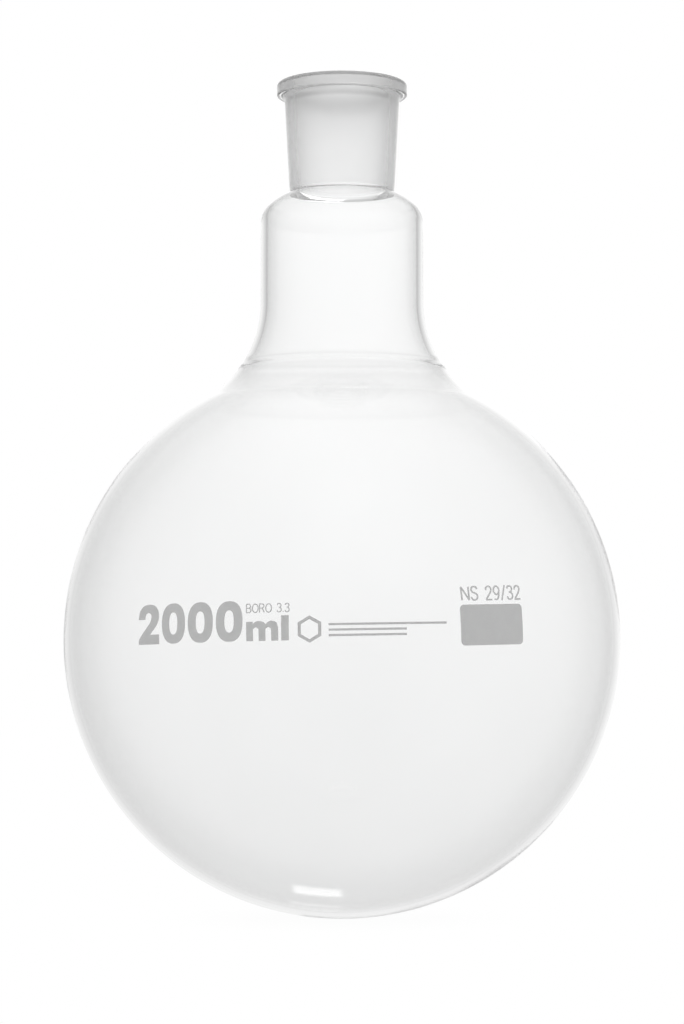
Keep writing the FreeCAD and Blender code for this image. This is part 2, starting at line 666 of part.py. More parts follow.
# Joint size: the standard designation of the ground joint.
J = D("size_height")
faces, end = line_text("NS 29/32", J, 0.44, 0.71, 0.0)
faces, end = line_text("NS 29/32", J, 0.44, 0.71, -end / 2)
joint_size = lettering("joint_size_mark", faces, 43.45, 92.49, 2.0)

# A plain hexagon badge, where a maker would put a sign.
hex_out = doc.addObject("Part::Prism", "badge_outside")
hex_in = doc.addObject("Part::Prism", "badge_inside")
for prism, expression in (
    (hex_out, "dims.badge_radius"),
    (hex_in, "dims.badge_radius - dims.badge_line / cos(30 deg)"),
):
    prism.Polygon = 6
    prism.setExpression("Circumradius", expression)
    prism.setExpression("Height", "dims.print_reach")
badge_blank = doc.addObject("Part::Cut", "badge_blank")
badge_blank.Base = hex_out
badge_blank.Tool = hex_in
lay = FreeCAD.Placement(
    FreeCAD.Vector(0, -REACH_START, 0),
    FreeCAD.Rotation(FreeCAD.Vector(1, 0, 0), -90),
)
for prism in (hex_out, hex_in):
    prism.Placement = place(-8.81, 84.18, 1.05).multiply(lay).multiply(
        FreeCAD.Placement(FreeCAD.Vector(0, 0, 0), FreeCAD.Rotation(FreeCAD.Vector(0, 0, 1), 30))
    )
badge = doc.addObject("Part::Common", "badge_mark")
badge.Base = shell
badge.Tool = badge_blank
badge.Label = "badge_mark"

# Three plain rules beside the badge.
rules = []
for i, alias in enumerate(("rule_long", "rule_mid", "rule_low")):
    box = doc.addObject("Part::Box", alias)
    box.setExpression("Length", "dims.rule_length" if i == 0 else "dims.rule_short")
    box.setExpression("Width", "dims.print_reach")
    box.setExpression("Height", "dims.rule_width")
    length = D("rule_length") if i == 0 else D("rule_short")
    box.Placement = place(12.76, 82.5, 1.0).multiply(
        FreeCAD.Placement(
            FreeCAD.Vector(-D("rule_length") / 2, -REACH_START, (2 - i) * D("rule_pitch")),
            FreeCAD.Rotation(),
        )
    )
    rules.append(box)
rule_blank = doc.addObject("Part::MultiFuse", "rule_blank")
rule_blank.Shapes = rules
rule_mark = doc.addObject("Part::Common", "rule_mark")
rule_mark.Base = shell
rule_mark.Tool = rule_blank
rule_mark.Label = "rule_mark"

# The matt field that takes a pencil note.
field_box = doc.addObject("Part::Box", "field_box")
field_box.setExpression("Length", "dims.field_width")
field_box.setExpression("Width", "dims.print_reach")
field_box.setExpression("Height", "dims.field_height")
field_box.Placement = place(43.36, 85.65, 1.6).multiply(
    FreeCAD.Placement(
        FreeCAD.Vector(-D("field_width") / 2, -REACH_START, -D("field_height") / 2),
        FreeCAD.Rotation(),
    )
)
doc.recompute()
axis = field_box.Placement.Rotation.multVec(FreeCAD.Vector(0, 1, 0))
long_edges = []
for i, edge in enumerate(field_box.Shape.Edges, start=1):
    direction = edge.Curve.Direction
    if abs(abs(direction.dot(axis)) - 1) < 1e-6:
        long_edges.append((i, D("field_corner"), D("field_corner")))
field_blank = doc.addObject("Part::Fillet", "field_blank")
field_blank.Base = field_box
field_blank.Edges = long_edges
field = doc.addObject("Part::Common", "writing_field")
field.Base = shell
field.Tool = field_blank
field.Label = "writing_field"

doc.recompute()

# ---------------------------------------------------------------- check and write
NODES = [bulb, neck, socket, capacity, grade, joint_size, badge, rule_mark, field]
for obj in doc.Objects:
    if "Invalid" in obj.State or "Error" in obj.State:
        raise RuntimeError("failed feature: " + obj.Name)
os.makedirs("parts", exist_ok=True)
for node in NODES:
    shape = node.Shape
    if shape.isNull() or not shape.isValid() or not shape.Solids or shape.Volume <= 0:
        raise RuntimeError("bad shape: " + node.Label)
    box = shape.BoundBox
    print(
        "%-18s solids %2d  faces %4d  volume %10.3f mm3  x %.2f..%.2f y %.2f..%.2f z %.2f..%.2f"
        % (node.Label, len(shape.Solids), len(shape.Faces), shape.Volume, box.XMin, box.XMax, box.YMin, box.YMax, box.ZMin, box.ZMax)
    )
for node in NODES:
    node.Shape.exportStep("parts/%s.step" % node.Label)
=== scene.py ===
import math

import bpy
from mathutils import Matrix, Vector, noise


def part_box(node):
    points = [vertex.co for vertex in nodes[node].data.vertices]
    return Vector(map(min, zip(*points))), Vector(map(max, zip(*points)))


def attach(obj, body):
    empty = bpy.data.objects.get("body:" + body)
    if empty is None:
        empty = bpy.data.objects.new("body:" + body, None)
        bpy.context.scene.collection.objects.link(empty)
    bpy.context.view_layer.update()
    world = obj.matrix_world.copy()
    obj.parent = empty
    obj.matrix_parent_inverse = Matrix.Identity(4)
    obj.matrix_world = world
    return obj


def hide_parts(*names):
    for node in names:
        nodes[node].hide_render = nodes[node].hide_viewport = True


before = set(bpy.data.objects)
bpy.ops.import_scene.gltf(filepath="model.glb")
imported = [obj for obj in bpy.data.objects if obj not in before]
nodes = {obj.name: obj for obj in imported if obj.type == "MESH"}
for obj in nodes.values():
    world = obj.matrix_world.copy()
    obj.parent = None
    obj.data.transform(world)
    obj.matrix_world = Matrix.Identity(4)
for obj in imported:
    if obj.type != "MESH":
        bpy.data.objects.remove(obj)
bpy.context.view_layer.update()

# Round bottom flask, 2000 ml, with a ground joint: the looks of the three glass pieces and of the
# fired enamel print. Profiles are in millimetres (radius, height) and turned into metres at the end.
MM = 0.001
SEG = 288

# ------------------------------------------------------------------ sizes taken from the frame
joint_lo, joint_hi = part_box("joint_socket")
neck_lo, neck_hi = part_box("neck")
bulb_lo, bulb_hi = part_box("bulb")
BULB_R = bulb_hi.x / MM                    # 83
SEAM_Z = neck_lo.z / MM                    # 164.6
STUB_Z = joint_lo.z / MM                   # 218
TOP_Z = joint_hi.z / MM                    # top of the rim
RIM_R = joint_hi.x / MM                    # outer radius of the rim
WALL = 2.0
FLARE_R = 34.0
NECK_R = 24.5
FLARE_X = NECK_R + FLARE_R
FLARE_Z = BULB_R + math.sqrt((BULB_R + FLARE_R) ** 2 - FLARE_X ** 2)


# ------------------------------------------------------------------ profiles
def arc(cx, cz, r, a0, a1, step):
    """Points of an arc from angle a0 to a1 (degrees), about step millimetres apart."""
    a0, a1 = math.radians(a0), math.radians(a1)
    n = max(3, int(math.ceil(abs(a1 - a0) * r / step)))
    return [(cx + r * math.cos(a0 + (a1 - a0) * i / n), cz + r * math.sin(a0 + (a1 - a0) * i / n)) for i in range(n + 1)]


def line(p, q, step):
    n = max(1, int(math.ceil(math.dist(p, q) / step)))
    return [(p[0] + (q[0] - p[0]) * i / n, p[1] + (q[1] - p[1]) * i / n) for i in range(n + 1)]


def chain(*parts):
    """Joins runs of points, dropping the doubled ends."""
    out = []
    for part in parts:
        for p in part:
            if not out or math.dist(out[-1], p) > 1e-4:
                out.append(p)
    return out


def round_corners(points, radii, step=0.12):
    """A polyline whose inner corners are replaced by tangent arcs."""
    out = [points[0]]
    for i in range(1, len(points) - 1):
        a, b, c = Vector(points[i - 1]), Vector(points[i]), Vector(points[i + 1])
        r = radii[i]
        u, v = (a - b).normalized(), (c - b).normalized()
        half = math.acos(max(-1.0, min(1.0, u.dot(v)))) / 2
        if r <= 0 or half > math.radians(89.5):
            out.append(tuple(b))
            continue
        d = min(r / math.tan(half), (a - b).length * 0.6, (c - b).length * 0.6)
        r = d * math.tan(half)
        centre = b + (u + v).normalized() * (r / math.sin(half))
        p, q = b + u * d, b + v * d
        s0, s1 = p - centre, q - centre
        turn = s0.angle_signed(s1)
        n = max(4, int(math.ceil(abs(turn) * r / step)))
        for k in range(n + 1):
            w = -turn * k / n
            out.append((centre.x + s0.x * math.cos(w) - s0.y * math.sin(w), centre.y + s0.x * math.sin(w) + s0.y * math.cos(w)))
    out.append(points[-1])
    return out


def resample(points, step):
    """Adds points on long straight runs, so that faces stay near square."""
    out = [points[0]]
    for p, q in zip(points, points[1:]):
        out += line(p, q, step)[1:]
    return out


def bell(z, centre, width):
    t = abs(z - centre) / width
    return 0.0 if t >= 1 else (0.5 + 0.5 * math.cos(math.pi * t))


def on_flare(radius, z):
    return FLARE_X - math.sqrt(radius ** 2 - (FLARE_Z - z) ** 2)


def flare_run(radius, z0, z1, step=0.35, bead=0.0):
    """The flare between bulb and neck from z0 to z1, on the outer or inner radius, with the fused seam's swelling."""
    n = max(2, int(math.ceil(abs(z1 - z0) / step)))
    out = []
    for i in range(n + 1):
        z = z0 + (z1 - z0) * i / n
        out.append((on_flare(radius, z) + bead * bell(z, SEAM_Z, 1.8), z))
    return out


BULB_TURN = math.degrees(math.atan2(FLARE_Z - BULB_R, FLARE_X))       # where the bulb turns into the flare


def bulb_loop():
    outer = arc(0, BULB_R, BULB_R, -90, BULB_TURN, 0.95)
    outer[0] = (0.0, 0.0)
    z_out = outer[-1][1]
    outer = chain(outer, flare_run(FLARE_R, z_out, SEAM_Z, bead=0.0))
    n = 260
    inner = []
    for i in range(n + 1):
        a = BULB_TURN + (-90 - BULB_TURN) * i / n
        r = BULB_R - WALL
        inner.append((r * math.cos(math.radians(a)), BULB_R + r * math.sin(math.radians(a))))
    inner[-1] = (0.0, inner[-1][1])
    inner = chain(flare_run(FLARE_R + WALL, SEAM_Z, inner[0][1], bead=-0.22), inner)
    return outer, inner


TURN = 44.0
CORNER = (NECK_R - 7.0, 208.3, 7.0)
CROWN = (CORNER[0] - 9.0 * math.cos(math.radians(TURN)), CORNER[1] - 9.0 * math.sin(math.radians(TURN)), 16.0)
STUB_R = 15.8
FILLET = (STUB_R + 0.7, CROWN[1] + math.sqrt(16.7 ** 2 - (STUB_R + 0.7 - CROWN[0]) ** 2), 0.7)
# the inside of the shoulder, which is blown thinner than the tube, and the throat below the ground cone
CORNER_IN = (NECK_R - WALL - 5.6, 208.9, 5.6)
CROWN_IN = (CORNER_IN[0] - 9.0 * math.cos(math.radians(TURN)), CORNER_IN[1] - 9.0 * math.sin(math.radians(TURN)), 14.6)
THROAT_BORE, THROAT_R = 13.1, 2.2


def touching():
    """Centre of the throat's arc: through the seam's inner edge and touching the crown's inside from above."""
    ax, az = THROAT_BORE, STUB_Z
    dx, dz = CROWN_IN[0] - ax, CROWN_IN[1] - az
    d = math.hypot(dx, dz)
    along = (THROAT_R ** 2 - (14.6 + THROAT_R) ** 2 + d * d) / (2 * d)
    off = math.sqrt(THROAT_R ** 2 - along * along)
    two = [(ax + along * dx / d + s * off * dz / d, az + along * dz / d - s * off * dx / d) for s in (1, -1)]
    return max(two, key=lambda q: q[0])


THROAT_X, THROAT_Z = touching()
THROAT_TURN = math.degrees(math.atan2(THROAT_Z - CROWN_IN[1], THROAT_X - CROWN_IN[0]))


def throat_at(z):
    """Angle on the throat's arc at a height."""
    return 180 + math.degrees(math.asin((THROAT_Z - z) / THROAT_R))


def throat_r(z):
    return THROAT_X + THROAT_R * math.cos(math.radians(throat_at(z)))


def neck_loop():
    cx, cz, cr = CORNER
    kx, kz, kr = CROWN
    fx, fz, fr = FILLET
    meet = math.degrees(math.atan2(fz - kz, fx - kx))
    outer = chain(
        flare_run(FLARE_R, SEAM_Z, FLARE_Z, bead=0.0),
        line((NECK_R, FLARE_Z), (NECK_R, cz), 0.9),
        arc(cx, cz, cr, 0, TURN, 0.3),
        arc(kx, kz, kr, TURN, meet, 0.3),
        arc(fx, fz, fr, meet + 180, 180, 0.12),
        line((fx - fr, fz), (fx - fr, STUB_Z), 0.2),
    )
    inner = chain(
        arc(THROAT_X, THROAT_Z, THROAT_R, throat_at(STUB_Z), 180 + THROAT_TURN, 0.12),
        arc(CROWN_IN[0], CROWN_IN[1], 14.6, THROAT_TURN, TURN, 0.25),
        arc(CORNER_IN[0], CORNER_IN[1], 5.6, TURN, 0, 0.25),
        line((NECK_R - WALL, CORNER_IN[1]), (NECK_R - WALL, FLARE_Z), 0.9),
        flare_run(FLARE_R + WALL, FLARE_Z, SEAM_Z, bead=-0.22),
    )
    return outer, inner


RIM_LOW = 247.0


def socket_loop():
    top = TOP_Z
    outer = round_corners(
        [(STUB_R, STUB_Z), (STUB_R, STUB_Z + 0.5), (15.95, STUB_Z + 1.6), (17.45, RIM_LOW), (RIM_R, RIM_LOW), (RIM_R, top), (15.1, top)],
        [0, 0.8, 2.0, 1.6, 0.6, 1.0, 0],
    )
    inside = round_corners([(15.8, top), (15.1, top), (14.6, top - 0.5), (13.0, 218.5)], [0, 0.35, 0.35, 0], 0.08)
    step = [(13.0, 218.5)] + arc(THROAT_X, THROAT_Z, THROAT_R, throat_at(218.45), throat_at(STUB_Z), 0.06)
    return resample(outer[:-1] + [(15.8, top)], 0.7), resample(inside, 0.7), step


# ------------------------------------------------------------------ meshes
def lathe(name, loop, slots, warp=None):
    """Turns a list of (radius, height, material index of the run to the next point, warp weight) into a closed mesh."""
    on_axis = loop[0][0] < 1e-6
    verts, rings = [], []
    for r, z, _m, weight in loop:
        if r < 1e-6:
            rings.append([len(verts)])
            x, y, h = warp(0.0, 0.0, z, weight) if warp and weight else (0.0, 0.0, z)
            verts.append((x * MM, y * MM, h * MM))
            continue
        ring = []
        for k in range(SEG):
            t = 2 * math.pi * k / SEG
            x, y, h = r * math.cos(t), r * math.sin(t), z
            if warp and weight:
                x, y, h = warp(x, y, h, weight)
            ring.append(len(verts))
            verts.append((x * MM, y * MM, h * MM))
        rings.append(ring)
    faces, mats = [], []
    pairs = list(zip(range(len(loop) - 1), range(1, len(loop))))
    if not on_axis:
        pairs.append((len(loop) - 1, 0))
    for i, j in pairs:
        a, b, m = rings[i], rings[j], loop[i][2]
        for k in range(SEG):
            k2 = (k + 1) % SEG
            if len(a) == 1:
                faces.append((a[0], b[k2], b[k]))
            elif len(b) == 1:
                faces.append((a[k], a[k2], b[0]))
            else:
                faces.append((a[k], a[k2], b[k2], b[k]))
            mats.append(m)
    mesh = bpy.data.meshes.new(name)
    mesh.from_pydata(verts, [], faces)
    for s in slots:
        mesh.materials.append(s)
    mesh.polygons.foreach_set("material_index", mats)
    mesh.polygons.foreach_set("use_smooth", [True] * len(faces))
    mesh.update()
    mesh.set_sharp_from_angle(angle=math.radians(40))
    obj = bpy.data.objects.new(name, mesh)
    bpy.context.scene.collection.objects.link(obj)
    return obj


def blown(x, y, z, weight):
    """The inside of a blown or drawn wall isn't quite even: it wanders by a few hundredths of a millimetre."""
    p = Vector((x, y, z))
    n = noise.noise(p * 0.018 + Vector((3.1, 7.7, 1.3))) * 0.03 + noise.noise(p * 0.06 + Vector((11.0, 2.0, 5.0))) * 0.008
    centre = Vector((0, 0, min(max(z, BULB_R), BULB_R)))
    if z > SEAM_Z:
        centre = Vector((0, 0, z))
    d = (p - centre)
    if d.length < 1e-6:
        return x, y, z
    d.normalize()
    p = p + d * (n * weight)
    return p.x, p.y, p.z


# ------------------------------------------------------------------ node helpers
def new_material(name):
    mat = bpy.data.materials.new(name)
    mat.use_nodes = True
    mat.node_tree.nodes.clear()
    return mat, mat.node_tree


def put(nt, kind, **values):
    node = nt.nodes.new(kind)
    for key, value in values.items():
        if key in node.inputs:
            node.inputs[key].default_value = value
        else:
            setattr(node, key, value)
    return node


def math_node(nt, op, a, b=None, clamp=False):
    node = nt.nodes.new("ShaderNodeMath")
    node.operation = op
    node.use_clamp = clamp
    for i, v in enumerate((a, b)):
        if v is None:
            continue
        if isinstance(v, (int, float)):
            node.inputs[i].default_value = v
        else:
            nt.links.new(v, node.inputs[i])
    return node.outputs[0]


def ramp(nt, value, a0, a1, b0, b1, kind="SMOOTHSTEP"):
    node = nt.nodes.new("ShaderNodeMapRange")
    node.interpolation_type = kind
    node.clamp = True
    nt.links.new(value, node.inputs["Value"])
    for key, v in (("From Min", a0), ("From Max", a1), ("To Min", b0), ("To Max", b1)):
        if isinstance(v, (int, float)):
            node.inputs[key].default_value = v
        else:
            nt.links.new(v, node.inputs[key])
    return node.outputs[0]


def grey(nt, value):
    node = nt.nodes.new("ShaderNodeCombineColor")
    for i in range(3):
        nt.links.new(value, node.inputs[i])
    return node.outputs[0]


def mix_value(nt, a, b, factor):
    """a where factor is 0, b where it is 1."""
    node = nt.nodes.new("ShaderNodeMix")
    node.data_type = "FLOAT"
    node.clamp_factor = True
    for i, v in ((0, factor), (2, a), (3, b)):
        if isinstance(v, (int, float)):
            node.inputs[i].default_value = v
        else:
            nt.links.new(v, node.inputs[i])
    return node.outputs[0]


def noise_tex(nt, coords, scale, detail=2.0, rough=0.5, stretch=None):
    if stretch:
        mp = put(nt, "ShaderNodeMapping")
        mp.inputs["Scale"].default_value = stretch
        nt.links.new(coords, mp.inputs["Vector"])
        coords = mp.outputs["Vector"]
    tex = put(nt, "ShaderNodeTexNoise", Scale=scale, Detail=detail, Roughness=rough)
    nt.links.new(coords, tex.inputs["Vector"])
    return tex.outputs["Fac"]


# ------------------------------------------------------------------ materials
def clear_glass(name, drawn):
    """Fire-polished borosilicate: near colourless, with faint striae; along the tube when drawn, swirling when blown; a
    faint band of painted shade just under the fused seam.
    """
    mat, nt = new_material(name)
    out = put(nt, "ShaderNodeOutputMaterial")
    bsdf = put(nt, "ShaderNodeBsdfPrincipled", IOR=1.472)
    bsdf.inputs["Transmission Weight"].default_value = 1.0
    coords = put(nt, "ShaderNodeTexCoord").outputs["Object"]
    stretch = (1.0, 1.0, 0.12) if drawn else (1.0, 1.0, 0.55)
    swirl = noise_tex(nt, coords, 26.0, 3.0, 0.45, stretch)
    fine = noise_tex(nt, coords, 120.0, 2.0, 0.5, stretch)
    tint = ramp(nt, swirl, 0.3, 0.7, 0.985, 0.998, "LINEAR")
    xyz = put(nt, "ShaderNodeSeparateXYZ")
    nt.links.new(coords, xyz.inputs[0])
    # Painted shade: a faint grey band just under the fused seam, up to 7 % darker, set into the glass's colour.
    ring = math_node(nt, "MULTIPLY", ramp(nt, xyz.outputs[2], 0.1644, 0.1649, 1.0, 0.0), ramp(nt, xyz.outputs[2], 0.1585, 0.1632, 0.0, 1.0))
    tint = math_node(nt, "MULTIPLY", tint, math_node(nt, "SUBTRACT", 1.0, math_node(nt, "MULTIPLY", ring, 0.07)))
    col = put(nt, "ShaderNodeCombineColor")
    nt.links.new(math_node(nt, "MULTIPLY", tint, 0.998), col.inputs[0])
    nt.links.new(tint, col.inputs[1])
    nt.links.new(math_node(nt, "MULTIPLY", tint, 0.9995), col.inputs[2])
    nt.links.new(col.outputs[0], bsdf.inputs["Base Color"])
    nt.links.new(ramp(nt, fine, 0.35, 0.75, 0.0, 0.012, "LINEAR"), bsdf.inputs["Roughness"])
    height = math_node(nt, "ADD", math_node(nt, "MULTIPLY", swirl, 1.0), math_node(nt, "MULTIPLY", fine, 0.08))
    bump = put(nt, "ShaderNodeBump", Strength=1.0, Distance=0.00005)
    nt.links.new(height, bump.inputs["Height"])
    nt.links.new(bump.outputs["Normal"], bsdf.inputs["Normal"])
    nt.links.new(bsdf.outputs[0], out.inputs["Surface"])
    return mat


def ground_glass(name, rough, tone, rim_painted_shade):
    """Fine-ground glass: an even frost whose grain is a tenth of a millimetre, with faint turning marks; its colour
    carries painted shade, greyer up the cone and darker still at the rim.
    """
    mat, nt = new_material(name)
    out = put(nt, "ShaderNodeOutputMaterial")
    bsdf = put(nt, "ShaderNodeBsdfPrincipled", IOR=1.472)
    bsdf.inputs["Transmission Weight"].default_value = 1.0
    coords = put(nt, "ShaderNodeTexCoord").outputs["Object"]
    grain = noise_tex(nt, coords, 5200.0, 3.0, 0.6)
    cloud = noise_tex(nt, coords, 160.0, 3.0, 0.5)
    turning = noise_tex(nt, coords, 900.0, 2.0, 0.5, (0.05, 0.05, 1.0))
    xyz = put(nt, "ShaderNodeSeparateXYZ")
    nt.links.new(coords, xyz.inputs[0])
    # Painted shade: the frost's colour darkens towards the top of the cone, and much more at the rim, where the joint
    # looks shaded.
    painted_shade_by_height = ramp(nt, xyz.outputs[2], 0.2275, 0.2450, 1.0, 0.89)
    painted_shade_by_height = math_node(nt, "MULTIPLY", painted_shade_by_height, ramp(nt, xyz.outputs[2], 0.2443, 0.2456, 1.0, rim_painted_shade))
    tint = math_node(nt, "MULTIPLY", painted_shade_by_height, ramp(nt, cloud, 0.3, 0.7, tone - 0.02, tone + 0.01, "LINEAR"))
    nt.links.new(grey(nt, tint), bsdf.inputs["Base Color"])
    base = ramp(nt, grain, 0.3, 0.7, rough - 0.07, rough + 0.07, "LINEAR")
    nt.links.new(math_node(nt, "ADD", base, ramp(nt, turning, 0.3, 0.7, -0.03, 0.03, "LINEAR")), bsdf.inputs["Roughness"])
    height = math_node(nt, "ADD", grain, math_node(nt, "MULTIPLY", turning, 0.6))
    bump = put(nt, "ShaderNodeBump", Strength=0.35, Distance=0.00003)
    nt.links.new(height, bump.inputs["Height"])
    nt.links.new(bump.outputs["Normal"], bsdf.inputs["Normal"])
    nt.links.new(bsdf.outputs[0], out.inputs["Surface"])
    return mat


def fused_face(name):
    """The plane where two pieces are fused: there is glass on both sides, so it isn't seen."""
    mat, nt = new_material(name)
    out = put(nt, "ShaderNodeOutputMaterial")
    clear = put(nt, "ShaderNodeBsdfTransparent")
    nt.links.new(clear.outputs[0], out.inputs["Surface"])
    return mat


def fired_enamel(name, tone, cover):
    """Fired screen-print enamel: pale and satin, thin enough for light behind to show through, with tiny pinholes."""
    mat, nt = new_material(name)
    out = put(nt, "ShaderNodeOutputMaterial")
    bsdf = put(nt, "ShaderNodeBsdfPrincipled", IOR=1.5)
    coords = put(nt, "ShaderNodeTexCoord").outputs["Object"]
    cloud = noise_tex(nt, coords, 240.0, 3.0, 0.55)
    grain = noise_tex(nt, coords, 3600.0, 2.0, 0.6)
    holes = put(nt, "ShaderNodeTexVoronoi", Scale=1400.0, Randomness=1.0)
    nt.links.new(coords, holes.inputs["Vector"])
    pin = ramp(nt, holes.outputs["Distance"], 0.04, 0.16, 0.08, 0.0)
    shade = math_node(nt, "ADD", ramp(nt, cloud, 0.3, 0.7, tone - 0.02, tone + 0.02, "LINEAR"), ramp(nt, grain, 0.3, 0.7, -0.02, 0.02, "LINEAR"))
    shade = math_node(nt, "ADD", shade, pin)
    nt.links.new(grey(nt, shade), bsdf.inputs["Base Color"])
    nt.links.new(ramp(nt, grain, 0.3, 0.7, 0.38, 0.55, "LINEAR"), bsdf.inputs["Roughness"])
    bsdf.inputs["Alpha"].default_value = cover
    bump = put(nt, "ShaderNodeBump", Strength=0.3, Distance=0.00002)
    nt.links.new(math_node(nt, "ADD", grain, cloud), bump.inputs["Height"])
    nt.links.new(bump.outputs["Normal"], bsdf.inputs["Normal"])
    nt.links.new(bsdf.outputs[0], out.inputs["Surface"])
    return mat


glass_blown = clear_glass("glass_blown", False)
glass_drawn = clear_glass("glass_drawn", True)
# The last number is the painted shade at the rim.
ground_inside = ground_glass("glass_ground_cone", 0.5, 0.965, 0.56)
fused = fused_face("fused_glass")
enamel = fired_enamel("enamel_print", 0.85, 0.4)


# ------------------------------------------------------------------ the three glass pieces
def fade(z, reach=8.0):
    """Weight of the wall's unevenness: none at the fused seams, so that neighbours meet exactly."""
    d = min(abs(z - SEAM_Z), abs(z - STUB_Z))
    t = min(1.0, d / reach)
    return t * t * (3 - 2 * t)


outer, inner = bulb_loop()
loop = [(r, z, 0, 0.0) for r, z in outer[:-1]]
loop.append((outer[-1][0], SEAM_Z, 1, 0.0))
loop += [(r, z, 0, fade(z)) for r, z in inner]
bulb = lathe("bulb_glass", loop, [glass_blown, fused], blown)

outer, inner = neck_loop()
loop = [(r, z, 0, 0.0) for r, z in outer[:-1]]
loop.append((outer[-1][0], STUB_Z, 1, 0.0))
loop += [(r, z, 0, fade(z) * 0.6) for r, z in inner[:-1]]
loop.append((inner[-1][0], SEAM_Z, 1, 0.0))
neck = lathe("neck_glass", loop, [glass_drawn, fused], blown)

outer, inside, step = socket_loop()
loop = [(r, z, 0, 0.0) for r, z in outer[:-1]]
loop += [(r, z, 2, 0.0) for r, z in inside[:-1]]
loop += [(r, z, 0, 0.0) for r, z in step[:-1]]
loop.append((step[-1][0], STUB_Z, 1, 0.0))
socket = lathe("joint_socket_glass", loop, [glass_drawn, fused, ground_inside])

for piece, node, slot in ((bulb, "bulb", "clear_glass"), (neck, "neck", "clear_glass"), (socket, "joint_socket", "ground_glass")):
    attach(piece, "root")
    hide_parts(node)


# ------------------------------------------------------------------ the enamel print
def enamel_piece(node):
    """The node's own outline, with its back face set two hundredths of a millimetre into the glass it is fired on."""
    src = nodes[node].data
    mesh = src.copy()
    mesh.name = node + "_enamel"
    centre = Vector((0, 0, BULB_R * MM))
    split = (BULB_R + 0.075) * MM
    for v in mesh.vertices:
        d = v.co - centre
        if d.length < split:
            v.co = centre + d.normalized() * ((BULB_R - 0.02) * MM)
    mesh.materials.clear()
    mesh.materials.append(enamel)
    obj = bpy.data.objects.new(node + "_enamel", mesh)
    bpy.context.scene.collection.objects.link(obj)
    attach(obj, "root")
    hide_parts(node)
    return obj


for node in sorted(nodes):
    if node not in ("bulb", "neck", "joint_socket"):
        enamel_piece(node)


# ------------------------------------------------------------------ studio
scene = bpy.context.scene
scene.view_settings.view_transform = "Standard"
scene.view_settings.look = "None"
scene.cycles.max_bounces = 28
scene.cycles.transmission_bounces = 26
scene.cycles.glossy_bounces = 16
scene.cycles.transparent_max_bounces = 24
scene.cycles.caustics_reflective = True
scene.cycles.caustics_refractive = True
scene.cycles.blur_glossy = 0.0


# Brightness of the white tent round the object, by angle away from straight ahead, on four sides of the view.
TENT_AT = (0, 10, 20, 30, 38, 46, 62, 75, 95, 130, 180)
TENT = {
    "up": (1.06, 1.16, 1.03, 0.80, 0.66, 0.64, 0.68, 0.60, 0.44, 0.30, 0.18),
    "right": (1.06, 1.03, 0.87, 0.71, 0.51, 0.47, 0.46, 0.41, 0.33, 0.25, 0.18),
    "down": (1.06, 0.90, 0.90, 0.85, 0.59, 0.46, 0.50, 0.48, 0.39, 0.32, 0.18),
    "left": (1.06, 0.96, 0.82, 0.69, 0.51, 0.44, 0.44, 0.41, 0.33, 0.25, 0.18),
}


# The panel: from and to this angle away from straight ahead, from and to this slant to the right, and its brightness.
PANEL = (26.0, 36.0, 0.0, 0.21, 1.8)


def tent_directions(nt):
    """The angle away from straight ahead (0 to 1 for 0 to 180 degrees) and the share of each side, in the camera's space."""
    coords = put(nt, "ShaderNodeTexCoord").outputs["Camera"]
    unit = put(nt, "ShaderNodeVectorMath", operation="NORMALIZE")
    nt.links.new(coords, unit.inputs[0])
    xyz = put(nt, "ShaderNodeSeparateXYZ")
    nt.links.new(unit.outputs[0], xyz.inputs[0])
    x, y, z = xyz.outputs[0], xyz.outputs[1], xyz.outputs[2]
    away = math_node(nt, "DIVIDE", math_node(nt, "ARCCOSINE", z), math.pi)
    rho2 = math_node(nt, "MAXIMUM", math_node(nt, "ADD", math_node(nt, "MULTIPLY", x, x), math_node(nt, "MULTIPLY", y, y)), 1e-9)

    def share(v, sign):
        w = math_node(nt, "MAXIMUM", math_node(nt, "MULTIPLY", v, sign), 0.0)
        return math_node(nt, "DIVIDE", math_node(nt, "MULTIPLY", w, w), rho2)

    return away, {"up": share(y, 1.0), "right": share(x, 1.0), "down": share(y, -1.0), "left": share(x, -1.0)}, (x, y, z)


def tent_curve(nt, away, values):
    node = put(nt, "ShaderNodeValToRGB")
    node.color_ramp.interpolation = "LINEAR"
    stops = node.color_ramp.elements
    while len(stops) < len(values):
        stops.new(0.5)
    for stop, angle, v in zip(list(stops), TENT_AT, values):
        stop.position = angle / 180.0
    for stop, v in zip(sorted(stops, key=lambda e: e.position), values):
        stop.color = (v / 4, v / 4, v / 4, 1.0)
    nt.links.new(away, node.inputs["Fac"])
    sep = put(nt, "ShaderNodeSeparateColor")
    nt.links.new(node.outputs["Color"], sep.inputs[0])
    return math_node(nt, "MULTIPLY", sep.outputs[0], 4.0)


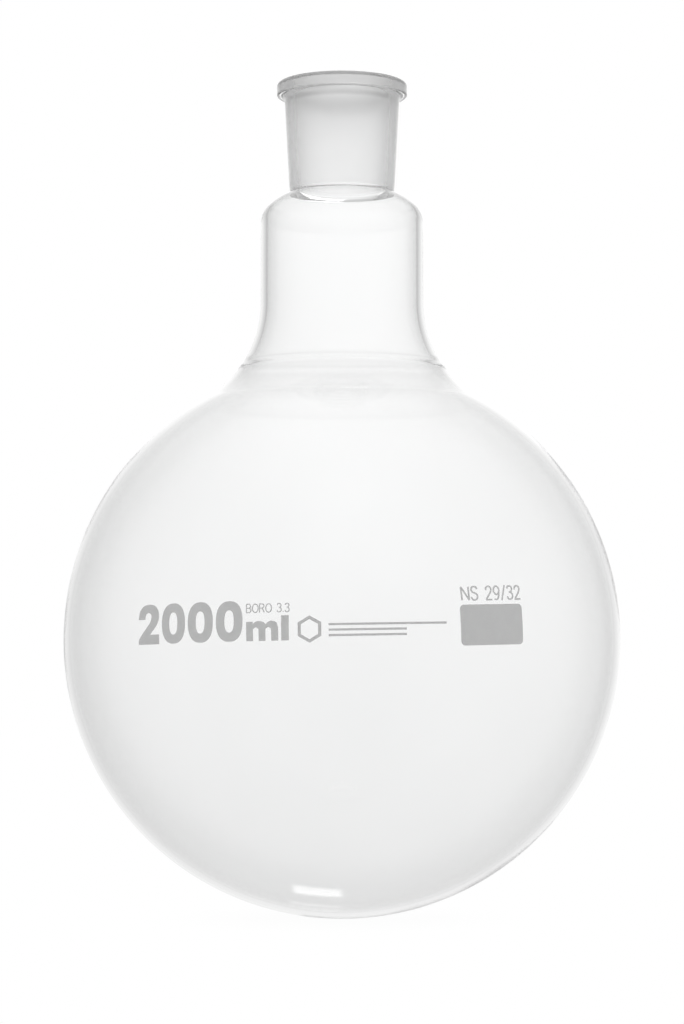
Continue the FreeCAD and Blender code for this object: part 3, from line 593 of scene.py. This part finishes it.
def studio_world():
    """A white tent that stays with the camera: bright behind the object, softer at the sides, dim behind the camera."""
    world = bpy.data.worlds.new("studio")
    world.use_nodes = True
    nt = world.node_tree
    nt.nodes.clear()
    out = put(nt, "ShaderNodeOutputWorld")
    away, sides, (x, y, z) = tent_directions(nt)
    value = None
    for side, share in sides.items():
        part = math_node(nt, "MULTIPLY", tent_curve(nt, away, TENT[side]), share)
        value = part if value is None else math_node(nt, "ADD", value, part)
    # one window-like panel high behind the object, a little to the right
    degrees = math_node(nt, "MULTIPLY", away, 180.0)
    slant = math_node(nt, "DIVIDE", x, math_node(nt, "MAXIMUM", y, 0.01))
    panel = math_node(nt, "MULTIPLY", ramp(nt, degrees, PANEL[0] - 1.5, PANEL[0] + 1.5, 0.0, 1.0), ramp(nt, degrees, PANEL[1] - 1.5, PANEL[1] + 1.5, 1.0, 0.0))
    panel = math_node(nt, "MULTIPLY", panel, ramp(nt, y, 0.02, 0.08, 0.0, 1.0))
    panel = math_node(nt, "MULTIPLY", panel, ramp(nt, slant, PANEL[2] - 0.02, PANEL[2] + 0.02, 0.0, 1.0))
    panel = math_node(nt, "MULTIPLY", panel, ramp(nt, slant, PANEL[3] - 0.02, PANEL[3] + 0.02, 1.0, 0.0))
    value = math_node(nt, "ADD", value, math_node(nt, "MULTIPLY", panel, PANEL[4]))
    path = put(nt, "ShaderNodeLightPath")
    value = mix_value(nt, value, 1.0, path.outputs["Is Camera Ray"])
    bg = put(nt, "ShaderNodeBackground")
    nt.links.new(grey(nt, value), bg.inputs["Color"])
    nt.links.new(bg.outputs[0], out.inputs["Surface"])
    scene.world = world
    world.cycles.sampling_method = "MANUAL"
    world.cycles.sample_map_resolution = 512


def studio_floor():
    """A plain pale table top. The camera sees it as white with a faint painted contact shadow; the glass sees it as
    pale grey.
    """
    ring, verts, faces = 96, [(0.0, 0.0, 0.0)], []
    radii = [0.02, 0.05, 0.1, 0.2, 0.4, 0.8, 1.6, 3.0, 6.0]
    for r in radii:
        verts += [(r * math.cos(2 * math.pi * k / ring), r * math.sin(2 * math.pi * k / ring), 0.0) for k in range(ring)]
    for k in range(ring):
        faces.append((0, 1 + k, 1 + (k + 1) % ring))
    for i in range(len(radii) - 1):
        for k in range(ring):
            a, b = 1 + i * ring + k, 1 + i * ring + (k + 1) % ring
            faces.append((a, a + ring, b + ring, b))
    mesh = bpy.data.meshes.new("floor")
    mesh.from_pydata(verts, [], faces)
    mesh.update()
    mat, nt = new_material("floor_pale")
    out = put(nt, "ShaderNodeOutputMaterial")
    coords = put(nt, "ShaderNodeTexCoord").outputs["Object"]
    length = put(nt, "ShaderNodeVectorMath", operation="LENGTH")
    nt.links.new(coords, length.inputs[0])
    r = length.outputs["Value"]
    # Painted contact shadow: the floor's white glow is 2 % darker at the contact point, fading out by 60 mm.
    seen = ramp(nt, r, 0.0, 0.06, 0.98, 1.0)
    em = put(nt, "ShaderNodeEmission")
    nt.links.new(grey(nt, seen), em.inputs["Color"])
    clear = put(nt, "ShaderNodeBsdfTransparent")
    mixer = put(nt, "ShaderNodeMixShader")
    path = put(nt, "ShaderNodeLightPath")
    show = math_node(nt, "MULTIPLY", path.outputs["Is Camera Ray"], ramp(nt, r, 3.0, 5.5, 1.0, 0.0))
    nt.links.new(show, mixer.inputs[0])
    nt.links.new(clear.outputs[0], mixer.inputs[1])
    nt.links.new(em.outputs[0], mixer.inputs[2])
    nt.links.new(mixer.outputs[0], out.inputs["Surface"])
    mat.cycles.emission_sampling = "NONE"
    mesh.materials.append(mat)
    floor = bpy.data.objects.new("floor", mesh)
    scene.collection.objects.link(floor)


studio_world()
studio_floor()

cam = bpy.data.cameras.new("camera")
cam.lens = 99.74
cam.sensor_width = 36.0
cam.clip_start, cam.clip_end = 0.01, 50.0
camera = bpy.data.objects.new("camera", cam)
camera.location = (0.0, -0.850, 0.068)
camera.rotation_euler = (math.radians(90 + 3.57), 0.0, 0.0)
scene.collection.objects.link(camera)
scene.camera = camera
